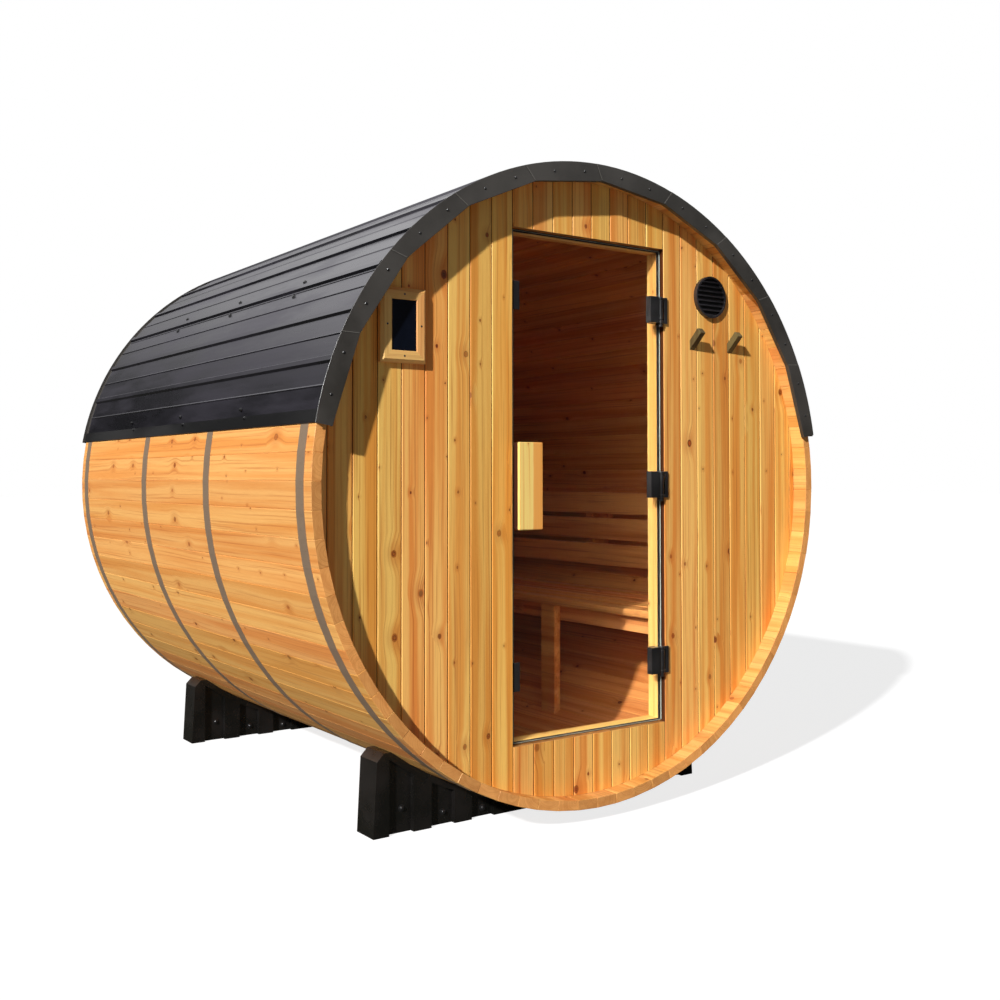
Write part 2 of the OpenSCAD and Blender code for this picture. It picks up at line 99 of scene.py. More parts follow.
def srgb(red, green, blue):
    """A colour given as 0 to 255 on a screen, turned into the linear values that a shader takes."""
    c = np.array([red, green, blue]) / 255
    linear = np.where(c <= 0.04045, c / 12.92, ((c + 0.055) / 1.055) ** 2.4)
    return (*[float(v) for v in linear], 1.0)


# ---------------- shapes


class Shell:
    """The points, faces and finishes of one piece, gathered part by part."""

    def __init__(self):
        self.points = []
        self.grain = []
        self.board = []
        self.faces = []
        self.finish = []
        self.count = 0

    def add(self, points, faces, grain=None, board=0.0, finish=0):
        """Adds points (n, 3) and index lists; grain holds each point's place along, across and into its
        board."""
        points = np.asarray(points, float).reshape(-1, 3)
        self.points.append(points)
        self.grain.append(points if grain is None else np.asarray(grain, float).reshape(-1, 3))
        self.board.append(np.broadcast_to(np.asarray(board, float), len(points)))
        for number, part in enumerate(faces):
            rows = np.asarray(part) + self.count
            self.faces.extend(rows.tolist())
            kind = finish[number] if isinstance(finish, (list, tuple)) else finish
            self.finish.extend([kind] * len(rows))
        self.count += len(points)


def volume(points, faces):
    """Signed volume that quads or triangles enclose: the sum of the tetrahedra from the origin to each
    face."""
    total = 0.0
    for part in faces:
        part = np.asarray(part)
        for k in range(1, part.shape[1] - 1):
            a, b, c = points[part[:, 0]], points[part[:, k]], points[part[:, k + 1]]
            total += np.einsum("ij,ij->i", a, np.cross(b, c)).sum()
    return total


def outward(points, faces):
    """The faces, all turned round if they enclose a negative volume."""
    if volume(points - points.mean(0), faces) < 0:
        return [np.asarray(part)[:, ::-1] for part in faces]
    return faces


def grid_quads(rows, columns, closed=False):
    """Index quads of a grid of rows by columns points; closed joins the last column to the first."""
    i = np.arange(rows - 1)[:, None] * columns
    j = np.arange(columns if closed else columns - 1)[None, :]
    k = (j + 1) % columns
    return np.stack([i + j, i + k, i + columns + k, i + columns + j], -1).reshape(-1, 4)


def loft(sections):
    """Skin over closed sections (m, n, 3): point j of each section joins point j of the next, and both ends
    are capped."""
    m, n = sections.shape[:2]
    caps = np.array([np.arange(n)[::-1], np.arange(n) + (m - 1) * n])
    points = sections.reshape(-1, 3)
    return points, outward(points, [grid_quads(m, n, True), caps])


def plank(low, high, axis, ease=2 * MM):
    """A board between two corners, long along axis: an eight-cornered section with eased edges, carried along
    the length and drawn in by the same amount at both ends. Its grain runs along axis."""
    low, high = np.array(low, float), np.array(high, float)
    others = [a for a in (0, 1, 2) if a != axis]
    half = (high - low)[others] / 2
    middle = (low + high) / 2
    side = np.array([[1, 1], [-1, 1], [-1, -1], [1, -1]], float)
    corners = []
    for k, (u, v) in enumerate(side):
        first, second = (u * (half[0] - ease), v * half[1]), (u * half[0], v * (half[1] - ease))
        corners += [second, first] if k % 2 == 0 else [first, second]
    section = np.array(corners)
    along = np.array([low[axis], low[axis] + ease, high[axis] - ease, high[axis]])
    shrink = np.array([ease, 0, 0, ease])
    scale = 1 - shrink[:, None] / half[None, :]
    sections = np.zeros((4, 8, 3))
    sections[:, :, axis] = along[:, None]
    sections[:, :, others[0]] = middle[others[0]] + section[None, :, 0] * scale[:, None, 0]
    sections[:, :, others[1]] = middle[others[1]] + section[None, :, 1] * scale[:, None, 1]
    points, faces = loft(sections)
    wide, thin = (others[0], others[1]) if half[0] >= half[1] else (others[1], others[0])
    grain = points[:, [axis, wide, thin]] - middle[[axis, wide, thin]]
    return points, faces, grain


def lathe(profile, centre, direction, sides):
    """A turned shape: profile (n, 2) of radius and height, carried round direction from centre. The first and
    last profile points lie on the axis."""
    profile = np.asarray(profile, float)
    direction = np.asarray(direction, float) / np.linalg.norm(direction)
    helper = np.array([0.0, 0, 1]) if abs(direction[2]) < 0.9 else np.array([1.0, 0, 0])
    first = np.cross(direction, helper)
    first /= np.linalg.norm(first)
    second = np.cross(direction, first)
    turn = np.arange(sides) * TAU / sides
    around = np.cos(turn)[:, None] * first + np.sin(turn)[:, None] * second
    rings = profile[1:-1]
    points = centre + rings[:, None, :1] * around[None] + rings[:, None, 1:] * direction
    poles = np.array([centre + profile[0, 1] * direction, centre + profile[-1, 1] * direction])
    n = len(rings) * sides
    all_points = np.concatenate([points.reshape(-1, 3), poles])
    k = np.arange(sides)
    low_fan = np.stack([np.full(sides, n), (k + 1) % sides, k], -1)
    last = n - sides
    high_fan = np.stack([np.full(sides, n + 1), last + k, last + (k + 1) % sides], -1)
    faces = [grid_quads(len(rings), sides, True), low_fan, high_fan]
    return all_points, outward(all_points, faces)


def on_barrel(radius, turn, y):
    """Points at radius and turn in the section at y, turn counted from +X towards +Z."""
    radius, turn, y = np.broadcast_arrays(np.asarray(radius, float), turn, y)
    return np.stack([radius * np.cos(turn), y, AXIS_Z + radius * np.sin(turn)], -1)


def build(name, shell, finishes, body="root", replaces=()):
    """Makes the shell a mesh object with its grain and board values, and sets what it rides on and stands
    for."""
    mesh = bpy.data.meshes.new(name)
    mesh.from_pydata(np.concatenate(shell.points).tolist(), [], shell.faces)
    mesh.polygons.foreach_set("material_index", np.array(shell.finish, np.int32))
    mesh.polygons.foreach_set("use_smooth", np.full(len(shell.faces), False))
    grain = mesh.attributes.new("grain", "FLOAT_VECTOR", "POINT")
    grain.data.foreach_set("vector", np.concatenate(shell.grain).astype(np.float32).ravel())
    board = mesh.attributes.new("board", "FLOAT", "POINT")
    board.data.foreach_set("value", np.concatenate(shell.board).astype(np.float32))
    for material in finishes:
        mesh.materials.append(material)
    mesh.update()
    made = bpy.data.objects.new(name, mesh)
    scene.collection.objects.link(made)
    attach(made, body)
    if replaces:
        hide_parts(*replaces)
    return made


def ease_edges(piece, width):
    """Rounds a finished piece's edges with a bevel."""
    bevel = piece.modifiers.new("eased_edges", "BEVEL")
    bevel.width = width
    bevel.segments = 2
    bevel.limit_method = "ANGLE"
    bevel.angle_limit = math.radians(30)
    bevel.harden_normals = False


def joined_faces(node):
    """Points and faces of a CAD node, its loose triangles merged and its flat faces made whole."""
    work = bmesh.new()
    work.from_mesh(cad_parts[node].data)
    bmesh.ops.remove_doubles(work, verts=work.verts, dist=1e-5)
    bmesh.ops.dissolve_limit(work, angle_limit=math.radians(0.5), verts=work.verts, edges=work.edges)
    bmesh.ops.recalc_face_normals(work, faces=work.faces)
    work.verts.index_update()
    points = np.array([v.co for v in work.verts], float)
    faces = [[v.index for v in f.verts] for f in work.faces]
    work.free()
    return points, faces


def eased_copy(name, node, finish, width, body="root", grain_axes=(1, 0, 2)):
    """A CAD node's own shape with eased edges, standing for that node."""
    points, faces = joined_faces(node)
    shell = Shell()
    shell.points = [points]
    shell.grain = [points[:, list(grain_axes)]]
    shell.board = [np.full(len(points), rng.random())]
    shell.faces = faces
    shell.finish = [0] * len(faces)
    piece = build(name, shell, [finish], body, (node,))
    ease_edges(piece, width)


def recoat(nodes, finish):
    """Gives CAD nodes that show as they are their finish."""
    for node in nodes:
        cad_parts[node].data.materials.clear()
        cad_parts[node].data.materials.append(finish)


# ---------------- node trees


class Nodes:
    """Short words for filling one node tree."""

    def __init__(self, tree):
        self.tree = tree

    def add(self, kind, inputs=None, **settings):
        """A new node with its settings and inputs."""
        made = self.tree.nodes.new(kind)
        for key, value in settings.items():
            setattr(made, key, value)
        for key, value in (inputs or {}).items():
            self.feed(made.inputs[key], value)
        return made

    def feed(self, socket, value):
        """Links a socket to the input, or sets the input's value."""
        if isinstance(value, bpy.types.NodeSocket):
            self.tree.links.new(value, socket)
        else:
            socket.default_value = value

    def math(self, operation, a, b=0.0, c=0.0, clamp=False):
        """One step of arithmetic."""
        made = self.add("ShaderNodeMath", operation=operation, use_clamp=clamp)
        for k, value in enumerate((a, b, c)):
            self.feed(made.inputs[k], value)
        return made.outputs[0]

    def vector(self, operation, a, b=(0, 0, 0)):
        """One step of arithmetic on vectors."""
        made = self.add("ShaderNodeVectorMath", {0: a, 1: b}, operation=operation)
        return made.outputs["Value" if operation in ("LENGTH", "DISTANCE", "DOT_PRODUCT") else "Vector"]

    def split(self, vector):
        """A vector's three values."""
        return self.add("ShaderNodeSeparateXYZ", {0: vector}).outputs

    def join(self, x, y, z):
        """A vector of three values."""
        return self.add("ShaderNodeCombineXYZ", {0: x, 1: y, 2: z}).outputs[0]

    def scaled(self, values, factors):
        """A vector of values, each times its own factor."""
        return self.join(*[self.math("MULTIPLY", value, factor) for value, factor in zip(values, factors)])

    def noise(self, vector, scale=1.0, detail=2.0, roughness=0.5):
        """Soft noise."""
        made = self.add("ShaderNodeTexNoise", {"Vector": vector, "Scale": scale})
        made.inputs["Detail"].default_value = detail
        made.inputs["Roughness"].default_value = roughness
        return made.outputs[0]

    def between(self, value, low, high, to_low=0.0, to_high=1.0, smooth=True):
        """Carries value from low..high to to_low..to_high, clamped, on a smooth step."""
        made = self.add("ShaderNodeMapRange", {"Value": value, "From Min": low, "From Max": high})
        made.inputs["To Min"].default_value = to_low
        made.inputs["To Max"].default_value = to_high
        made.interpolation_type = "SMOOTHSTEP" if smooth else "LINEAR"
        made.clamp = True
        return made.outputs[0]

    def mix(self, factor, a, b):
        """A blend of two colours."""
        made = self.add("ShaderNodeMix", data_type="RGBA", blend_type="MIX")
        self.feed(made.inputs[0], factor)
        self.feed(made.inputs[6], a)
        self.feed(made.inputs[7], b)
        return made.outputs[2]

    def attribute(self, name, output):
        """A value that the mesh carries at each point."""
        return self.add("ShaderNodeAttribute", attribute_name=name).outputs[output]


def new_group(name, inputs, outputs):
    """An empty shader node group with named sockets, as (group, nodes, input sockets, output node)."""
    group = bpy.data.node_groups.new(name, "ShaderNodeTree")
    for label, kind in inputs:
        group.interface.new_socket(name=label, in_out="INPUT", socket_type="NodeSocket" + kind)
    for label, kind in outputs:
        group.interface.new_socket(name=label, in_out="OUTPUT", socket_type="NodeSocket" + kind)
    nodes = Nodes(group)
    source = nodes.add("NodeGroupInput").outputs
    target = nodes.add("NodeGroupOutput")
    return group, nodes, source, target


def wood_group():
    """Softwood seen on the side of a board: wide soft bands, fine rings and fibres that wander along the
    board and swing round its knots. Grain is the place along, across and into the board, in metres."""
    group, n, given, out = new_group(
        "softwood",
        [("Grain", "Vector"), ("Board", "Float"), ("Pale", "Color"), ("Honey", "Color"),
         ("Ring", "Color"), ("Knot", "Color"), ("Knots", "Float"), ("Streaks", "Float")],
        [("Color", "Color"), ("Height", "Float"), ("Shine", "Float")],
    )
    along, across, into = n.split(given["Grain"])[:3]
    seed = n.math("MULTIPLY", given["Board"], 173.0)
    shifted = n.math("ADD", along, seed)

    cells = (4.6, 13.0)
    cell_along = n.math("MULTIPLY", shifted, cells[0])
    cell_across = n.math("MULTIPLY", n.math("ADD", across, seed), cells[1])
    cell_place = n.join(cell_along, cell_across, 0.0)
    knot_cells = n.add("ShaderNodeTexVoronoi", {"Vector": cell_place, "Scale": 1.0}, voronoi_dimensions="2D")
    offset = n.split(n.vector("SUBTRACT", cell_place, knot_cells.outputs["Position"]))
    chance = n.split(knot_cells.outputs["Color"])
    wobble = n.math("MULTIPLY", n.math("SUBTRACT", n.noise(given["Grain"], 160.0, 1.0), 0.5), 0.006)
    far_along = n.math("ADD", n.math("DIVIDE", offset[0], cells[0] * 1.3), wobble)
    far_across = n.math("DIVIDE", offset[1], cells[1])
    distance = n.vector("LENGTH", n.join(far_along, far_across, 0.0))
    here = n.math("GREATER_THAN", given["Knots"], chance[0])
    size = n.math("MULTIPLY_ADD", n.math("POWER", chance[1], 3.0), 0.0085, 0.0022)
    nearness = n.math("DIVIDE", distance, size)
    knot = n.math("MULTIPLY", here, n.between(nearness, 1.25, 0.8))
    halo = n.math("MULTIPLY", here, n.between(nearness, 5.0, 1.0))
    swing = n.math("MULTIPLY", n.math("MULTIPLY", here, size), n.between(nearness, 7.0, 0.0, 0.0, 1.9))

    wander_place = n.join(n.math("MULTIPLY", shifted, 1.6), n.math("MULTIPLY", across, 5.0), seed)
    wander = n.noise(wander_place, 1.0, 1.0)
    bent = n.math("ADD", n.math("MULTIPLY_ADD", wander, 0.016, across), swing)
    fibres = (shifted, bent, into)
    band_place = n.scaled(fibres, (0.55, 24.0, 20.0))
    band = n.noise(band_place, 1.0, 2.0, 0.55)
    ring_place = n.scaled(fibres, (1.3, 150.0, 90.0))
    ring = n.noise(ring_place, 1.0, 2.0, 0.6)
    fibre_place = n.scaled(fibres, (16.0, 900.0, 600.0))
    fibre = n.noise(fibre_place, 1.0, 1.0)

    tone = n.add("ShaderNodeTexWhiteNoise", {"W": seed}, noise_dimensions="1D")
    tones = n.split(tone.outputs["Color"])
    lean = n.math("MULTIPLY_ADD", tones[0], 0.5, -0.25)
    share = n.math("ADD", n.between(band, 0.36, 0.66), lean, clamp=True)
    colour = n.mix(share, given["Pale"], given["Honey"])
    lines = n.math("MULTIPLY", n.between(ring, 0.5, 0.72), given["Streaks"])
    colour = n.mix(lines, colour, given["Ring"])
    colour = n.mix(n.between(fibre, 0.35, 0.75, 0.0, 0.16), colour, given["Ring"])
    colour = n.mix(n.math("MULTIPLY", halo, 0.3), colour, given["Ring"])
    knot_rings = n.noise(n.join(n.math("MULTIPLY", nearness, 3.0), seed, 0.0), 1.0, 1.0)
    knot_colour = n.mix(n.between(knot_rings, 0.35, 0.65), given["Knot"], given["Ring"])
    dark_share = n.between(chance[2], 0.2, 0.7, 0.7, 1.0)
    colour = n.mix(n.math("MULTIPLY", knot, dark_share), colour, knot_colour)
    change = n.add("ShaderNodeHueSaturation", {"Color": colour})
    n.feed(change.inputs["Hue"], n.math("MULTIPLY_ADD", tones[1], 0.016, 0.492))
    n.feed(change.inputs["Value"], n.math("MULTIPLY_ADD", tones[2], 0.16, 0.92))

    height = n.math("MULTIPLY_ADD", ring, -0.6, n.math("MULTIPLY", fibre, -0.25))
    height = n.math("ADD", height, n.math("MULTIPLY", knot, -0.5))
    n.feed(out.inputs["Color"], change.outputs[0])
    n.feed(out.inputs["Height"], height)
    n.feed(out.inputs["Shine"], n.between(band, 0.3, 0.7))
    return group


def end_grain_group():
    """Softwood seen on a cut end: growth rings as circles about a pith beyond the board's edge, with saw
    marks."""
    group, n, given, out = new_group(
        "end_grain",
        [("Grain", "Vector"), ("Board", "Float"), ("Pale", "Color"), ("Dark", "Color")],
        [("Color", "Color"), ("Height", "Float")],
    )
    across, into = n.split(given["Grain"])[1:3]
    seed = n.math("MULTIPLY", given["Board"], 173.0)
    tone = n.add("ShaderNodeTexWhiteNoise", {"W": seed}, noise_dimensions="1D")
    tones = n.split(tone.outputs["Color"])
    pith_across = n.math("MULTIPLY_ADD", tones[0], 0.1, -0.05)
    pith_into = n.math("MULTIPLY_ADD", tones[1], 0.06, 0.02)
    from_pith = n.join(n.math("SUBTRACT", across, pith_across), n.math("ADD", into, pith_into), 0.0)
    wobble = n.math("MULTIPLY", n.noise(n.join(across, into, seed), 60.0, 1.0), 0.003)
    radius = n.math("ADD", n.vector("LENGTH", from_pith), wobble)
    rings = n.noise(n.join(n.math("MULTIPLY", radius, 420.0), seed, 0.0), 1.0, 1.0)
    saw = n.noise(n.join(n.math("MULTIPLY", across, 90.0), n.math("MULTIPLY", into, 900.0), seed), 1.0, 2.0)
    patch = n.noise(n.join(n.math("MULTIPLY", across, 22.0), n.math("MULTIPLY", into, 40.0), seed), 1.0, 2.0)
    colour = n.mix(n.between(rings, 0.4, 0.66, 0.0, 0.6), given["Pale"], given["Dark"])
    colour = n.mix(n.between(patch, 0.4, 0.7, 0.0, 0.45), colour, given["Dark"])
    change = n.add("ShaderNodeHueSaturation", {"Color": colour})
    n.feed(change.inputs["Value"], n.math("MULTIPLY_ADD", tones[2], 0.4, 0.8))
    n.feed(out.inputs["Color"], change.outputs[0])
    n.feed(out.inputs["Height"], n.math("MULTIPLY_ADD", saw, 0.6, n.math("MULTIPLY", rings, 0.4)))
    return group


def grime_group():
    """Dust and rub marks on smooth things: Cloud is broad and soft, Speck is fine, both 0 to 1."""
    group, n, given, out = new_group(
        "grime",
        [("Place", "Vector"), ("Broad", "Float"), ("Fine", "Float")],
        [("Cloud", "Float"), ("Speck", "Float")],
    )
    cloud = n.noise(given["Place"], given["Broad"], 4.0, 0.6)
    speck = n.noise(given["Place"], given["Fine"], 3.0, 0.7)
    n.feed(out.inputs["Cloud"], n.between(cloud, 0.35, 0.7))
    n.feed(out.inputs["Speck"], n.between(speck, 0.5, 0.75))
    return group


KNOT_BROWN = (88, 44, 18)
SOFTWOOD = wood_group()
END_GRAIN = end_grain_group()
GRIME = grime_group()


def new_material(name):
    """An empty material with its Principled shader, as (material, nodes, shader)."""
    material = bpy.data.materials.new(name)
    material.use_nodes = True
    material.node_tree.nodes.clear()
    nodes = Nodes(material.node_tree)
    shader = nodes.add("ShaderNodeBsdfPrincipled")
    output = nodes.add("ShaderNodeOutputMaterial")
    nodes.feed(output.inputs["Surface"], shader.outputs[0])
    return material, nodes, shader


def bump(nodes, shader, height, distance, strength=1.0):
    """Feeds the shader's normal from a height."""
    made = nodes.add("ShaderNodeBump", {"Height": height, "Distance": distance, "Strength": strength})
    nodes.feed(shader.inputs["Normal"], made.outputs[0])


def wood(name, pale, honey, ring, knots, streaks, knot=KNOT_BROWN, heart=None):
    """A softwood finish; knots is the share of its knot places that hold one. heart is the colour of a
    heartwood stripe and how far across the board it starts."""
    material, n, shader = new_material(name)
    grain = n.add("ShaderNodeGroup", node_tree=SOFTWOOD)
    n.feed(grain.inputs["Grain"], n.attribute("grain", "Vector"))
    n.feed(grain.inputs["Board"], n.attribute("board", "Fac"))
    for label, value in (("Pale", pale), ("Honey", honey), ("Ring", ring), ("Knot", knot)):
        grain.inputs[label].default_value = srgb(*value)
    grain.inputs["Knots"].default_value = knots
    grain.inputs["Streaks"].default_value = streaks
    colour = grain.outputs["Color"]
    if heart:
        place = n.attribute("grain", "Vector")
        wander = n.noise(n.vector("MULTIPLY", place, (9, 0, 0)), 1.0, 1.0)
        edge = n.math("MULTIPLY_ADD", wander, 10 * MM, n.split(place)[1])
        stripe = n.between(edge, heart[1] + 3 * MM, heart[1] + 7 * MM)
        colour = n.mix(n.math("MULTIPLY", stripe, 0.75), colour, srgb(*heart[0]))
    n.feed(shader.inputs["Base Color"], colour)
    n.feed(shader.inputs["Roughness"], n.between(grain.outputs["Shine"], 0.0, 1.0, 0.42, 0.6))
    shader.inputs["Specular IOR Level"].default_value = 0.35
    bump(n, shader, grain.outputs["Height"], 0.5 * MM, 0.5)
    return material


def cut_wood(name, pale, dark):
    """The finish of sawn board ends."""
    material, n, shader = new_material(name)
    ends = n.add("ShaderNodeGroup", node_tree=END_GRAIN)
    n.feed(ends.inputs["Grain"], n.attribute("grain", "Vector"))
    n.feed(ends.inputs["Board"], n.attribute("board", "Fac"))
    ends.inputs["Pale"].default_value = srgb(*pale)
    ends.inputs["Dark"].default_value = srgb(*dark)
    n.feed(shader.inputs["Base Color"], ends.outputs["Color"])
    shader.inputs["Roughness"].default_value = 0.7
    shader.inputs["Specular IOR Level"].default_value = 0.3
    bump(n, shader, ends.outputs["Height"], 0.6 * MM, 0.6)
    return material


def coated(name, colour, dusty, rough, metallic, broad, fine, stretch=(1, 1, 1), grain=0.2):
    """A painted, coated or moulded surface: its colour clouds towards dusty, and its gloss varies with it.
    broad and fine are the scales of its marks, and grain is how far they stand out."""
    material, n, shader = new_material(name)
    place = n.vector("MULTIPLY", n.add("ShaderNodeTexCoord").outputs["Object"], stretch)
    marks = n.add("ShaderNodeGroup", {"Place": place, "Broad": broad, "Fine": fine}, node_tree=GRIME)
    clouds = n.math("MULTIPLY", marks.outputs["Cloud"], 0.6)
    share = n.math("MULTIPLY_ADD", marks.outputs["Speck"], 0.25, clouds)
    n.feed(shader.inputs["Base Color"], n.mix(share, srgb(*colour), srgb(*dusty)))
    n.feed(shader.inputs["Roughness"], n.between(marks.outputs["Cloud"], 0.0, 1.0, *rough))
    shader.inputs["Metallic"].default_value = metallic
    shader.inputs["Specular IOR Level"].default_value = 0.9
    bump(n, shader, marks.outputs["Speck"], 0.15 * MM, grain)
    return material


def roof_coating(name, colour, dusty):
    """Coated sheet whose pans are drawn in long shallow waves, with lighter lilac streaks along the barrel
    that are partly dust and partly painted sheen.
    """
    material, n, shader = new_material(name)
    place = n.add("ShaderNodeTexCoord").outputs["Object"]
    dust_and_sheen_place = n.vector("MULTIPLY", place, (5, 1, 5))
    marks = n.add("ShaderNodeGroup", {"Place": dust_and_sheen_place, "Broad": 1.3, "Fine": 40.0}, node_tree=GRIME)
    # The lighter lilac clouds are partly dust and partly painted sheen.
    share = n.math("MULTIPLY", marks.outputs["Cloud"], 0.7)
    n.feed(shader.inputs["Base Color"], n.mix(share, srgb(*colour), srgb(*dusty)))
    n.feed(shader.inputs["Roughness"], n.between(marks.outputs["Cloud"], 0.0, 1.0, 0.26, 0.42))
    shader.inputs["Specular IOR Level"].default_value = 0.9
    shader.inputs["Specular Tint"].default_value = srgb(226, 218, 244)
    waves = n.noise(n.vector("MULTIPLY", place, (16, 0.7, 16)), 1.0, 2.0)
    fine = n.math("MULTIPLY_ADD", marks.outputs["Speck"], 0.03, waves)
    bump(n, shader, fine, 3.0 * MM, 0.35)
    return material


def pane_glass(name, colour):
    """Clear toughened glass that lets lamps through to what stands behind it."""
    material, n, shader = new_material(name)
    shader.inputs["Base Color"].default_value = colour
    shader.inputs["Transmission Weight"].default_value = 1.0
    shader.inputs["Metallic"].default_value = 0.0
    shader.inputs["IOR"].default_value = 1.5
    place = n.add("ShaderNodeTexCoord").outputs["Object"]
    smear = n.noise(n.vector("MULTIPLY", place, (3, 1, 5)), 1.0, 3.0)
    n.feed(shader.inputs["Roughness"], n.between(smear, 0.5, 0.8, 0.0, 0.03))
    clear = n.add("ShaderNodeBsdfTransparent", {"Color": (0.96, 0.94, 0.91, 1)})
    to_lamps = n.add("ShaderNodeLightPath").outputs["Is Shadow Ray"]
    mixed = n.add("ShaderNodeMixShader", {0: to_lamps, 1: shader.outputs[0], 2: clear.outputs[0]})
    output = next(k for k in material.node_tree.nodes if k.type == "OUTPUT_MATERIAL")
    n.feed(output.inputs["Surface"], mixed.outputs[0])
    return material


FINISH = {
    "stave": wood("stave_wood", (240, 182, 104), (222, 150, 72), (180, 102, 42), 0.55, 0.55),
    # Painted shade: the inner faces of staves and walls are a little darker and redder than the outer faces
    # of the same boards, for the dim interior.
    "inside": wood("indoor_wood_painted_shade", (232, 164, 94), (208, 134, 68), (154, 84, 36), 0.3, 0.5),
    "stave_end": cut_wood("stave_end_grain", (230, 162, 90), (200, 126, 62)),
    "wall": wood("wall_board_wood", (252, 200, 108), (230, 148, 62), (182, 92, 30), 0.65, 0.6),
    # Painted shade: the vee flanks and gap sides of the wall boards are dark brown so the grooves read as
    # shadow lines.
    "joint": wood("board_joint_painted_shade", (96, 52, 20), (78, 40, 15), (50, 24, 9), 0.0, 0.5),
    "eave": coated("eave_coating", (16, 16, 17), (34, 33, 33), (0.28, 0.42), 0.0, 3.0, 120.0,
                   (1, 0.3, 1), 0.15),
    "wall_end": cut_wood("wall_board_ends", (214, 152, 84), (168, 98, 44)),
    "lining": wood("lining_wood", (244, 200, 120), (224, 160, 84), (176, 104, 44), 0.15, 0.45),
    "bench": wood("bench_wood", (238, 174, 104), (212, 140, 76), (156, 88, 42), 0.25, 0.5),
    "handle": wood("handle_wood", (255, 224, 134), (250, 202, 108), (228, 150, 62), 0.5, 0.6,
                   heart=((240, 152, 66), 8 * MM)),
    "spacer": wood("handle_spacer", (96, 44, 24), (70, 30, 16), (40, 16, 8), 0.0, 0.5, (20, 10, 6)),
    "hook": wood("hook_wood", (108, 94, 58), (76, 60, 34), (44, 30, 16), 0.0, 0.5, (20, 12, 8)),
    "frame": wood("frame_wood", (244, 196, 118), (224, 156, 82), (180, 106, 46), 0.1, 0.5),
    "strap": coated("strap_steel", (190, 163, 136), (138, 116, 98), (0.32, 0.5), 0.55, 3.0, 220.0,
                    (1, 0.2, 1)),
    # Roof: its lighter lilac clouds are partly dust and partly painted sheen.
    "roof": roof_coating("roof_coating", (12, 12, 14), (30, 28, 34)),
    "trim": coated("trim_coating", (44, 41, 37), (62, 57, 52), (0.34, 0.5), 0.0, 3.0, 120.0, (1, 1, 1), 0.15),
    "screw": coated("screw_heads", (16, 16, 18), (40, 38, 38), (0.3, 0.45), 0.3, 30.0, 400.0),
    "cradle": coated("cradle_moulding", (13, 13, 11), (32, 28, 27), (0.22, 0.36), 0.0, 5.0, 420.0,
                     (1, 1, 1), 0.3),
    "black": coated("black_coating", (18, 18, 20), (34, 32, 32), (0.28, 0.42), 0.0, 9.0, 300.0),
    "vent": coated("vent_moulding", (18, 17, 19), (38, 34, 40), (0.3, 0.45), 0.0, 9.0, 300.0),
    "rubber": coated("seal_rubber", (14, 14, 15), (30, 30, 30), (0.55, 0.7), 0.0, 9.0, 300.0),
    "display": coated("display_glass", (10, 14, 24), (18, 24, 38), (0.06, 0.14), 0.0, 6.0, 90.0,
                      (1, 1, 1), 0.0),
    "glass_edge": coated("glass_edge", (150, 158, 150), (120, 128, 122), (0.2, 0.35), 0.0, 8.0, 200.0),
    # Painted highlight: a light metal grey strip at each lap end of the end bands, where the folded end
    # catches the light.
    "lap_highlight": coated("painted_lap_highlights", (128, 124, 118), (92, 90, 86), (0.35, 0.5), 0.4, 20.0, 300.0),
    "glass": pane_glass("door_glass", (0.93, 0.89, 0.84, 1)),
}

# ---------------- staves and straps


def half_width(radius):
    """Half of a stave's width at radius."""
    return radius * math.tan(STAVE_STEP / 2)


def stave_section():
    """Corners of one stave across and out from the axis: flat outside and in, its sides on the joint
    planes."""
    ease = 1.7 * MM
    outer, inner = BARREL_R, INNER_R
    right = [(half_width(inner) - ease, inner), (half_width(inner), inner + ease),
             (half_width(outer), outer - ease), (half_width(outer) - ease, outer)]
    left = [(-across, out) for across, out in reversed(right)]
    return np.array(right + left)


def stave_group(number):
    """One run of staves: each is its section turned to its place and carried from the front to the rear, a
    hair longer or shorter than its neighbours."""
    shell = Shell()
    section = stave_section()
    ease = 1.0 * MM
    each = STAVE_COUNT // STAVE_RUNS
    for k in range((number - 1) * each, number * each):
        turn = (k + 0.5) * STAVE_STEP + JOINT_TURN
        front = FRONT_Y + rng.uniform(0, 1.2) * MM
        rear = REAR_Y - rng.uniform(0, 1.2) * MM
        lift = rng.uniform(-0.35, 0.0) * MM
        walls = [WALL_Y + WALL_T / 2, rear_low.y + WALL_T / 2]
        along = np.array([front, front + ease, *walls, rear - ease, rear])
        middle = section.mean(0)
        half = np.array([half_width(BARREL_R), STAVE_T / 2])
        shrink = 1 - np.array([ease, 0, 0, 0, 0, ease])[:, None] / half
        flat = middle + (section[None] - middle) * shrink[:, None, :]
        across, out = flat[..., 0], flat[..., 1] + lift
        x = out * math.cos(turn) - across * math.sin(turn)
        z = out * math.sin(turn) + across * math.cos(turn)
        y = np.broadcast_to(along[:, None], x.shape)
        points, faces = loft(np.stack([x, y, AXIS_Z + z], -1))
        grain = np.stack([y, across, out - BARREL_R], -1)
        sides, ends = faces
        inside = np.arange(len(sides)) == 3 * len(section) - 1
        shell.add(points, [sides[~inside], ends, sides[inside]], grain, rng.random(), [0, 1, 2])
    name = f"stave_run_{number}"
    finishes = [FINISH["stave"], FINISH["stave_end"], FINISH["inside"]]
    build(name, shell, finishes, "root", (f"staves_{number}",))


for number in range(1, STAVE_RUNS + 1):
    stave_group(number)

# ---------------- end walls


